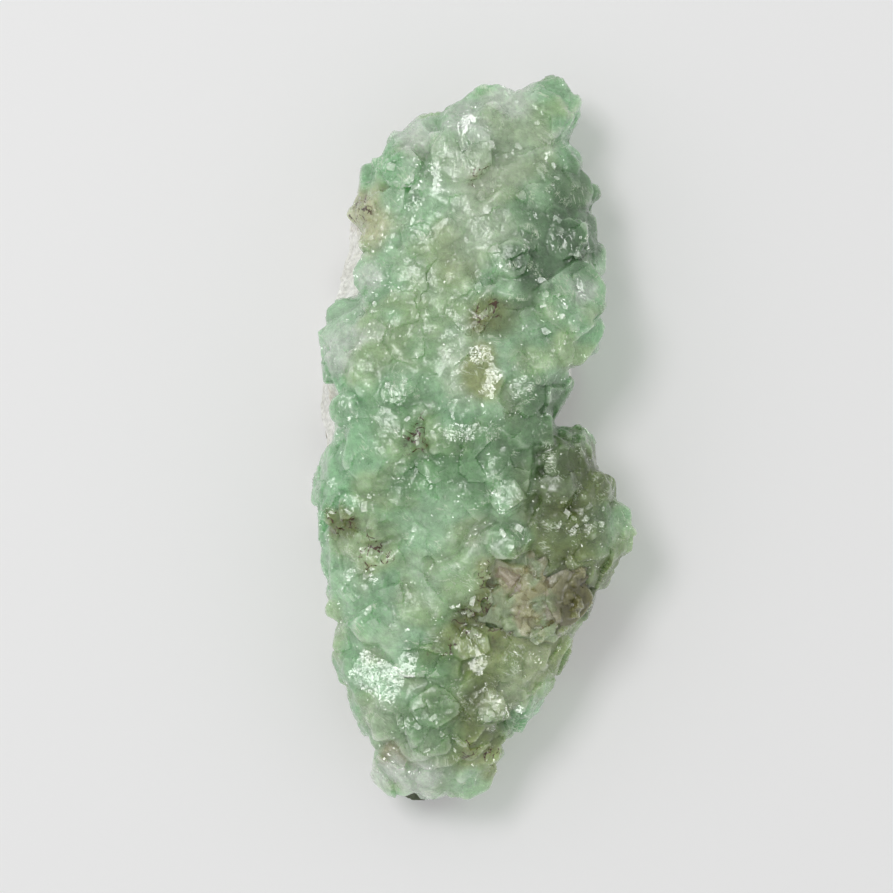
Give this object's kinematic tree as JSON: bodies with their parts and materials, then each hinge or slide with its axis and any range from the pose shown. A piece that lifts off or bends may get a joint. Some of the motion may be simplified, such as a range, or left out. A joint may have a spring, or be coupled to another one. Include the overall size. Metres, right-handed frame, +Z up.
{
  "type": "apophyllite cluster",
  "caption": "Loose mineral specimen: pale green, blocky apophyllite crystals grown over a pale rock matrix, with a patch of cream stilbite, resting on a flat broken base.",
  "frame": {"origin": "middle of the bounding box, on the flat base", "axes": "+Z up from the base through the crystals; +Y along the cluster from its narrow end to its broad end; +X to the right of that, seen from above"},
  "size_m": [0.0526, 0.1218, 0.0331],
  "materials": {
    "matrix_rock": "chalky, granular, pale zeolite rock with dark basalt below",
    "apophyllite": "milky translucent green crystal with a glassy, finely striated lustre",
    "stilbite": "pearly cream blades with brown stains"
  },
  "bodies": {
    "root": {"matrix": "matrix_rock", "apophyllite_crust": "apophyllite", "stilbite_patch": "stilbite"}
  },
  "joints": []
}
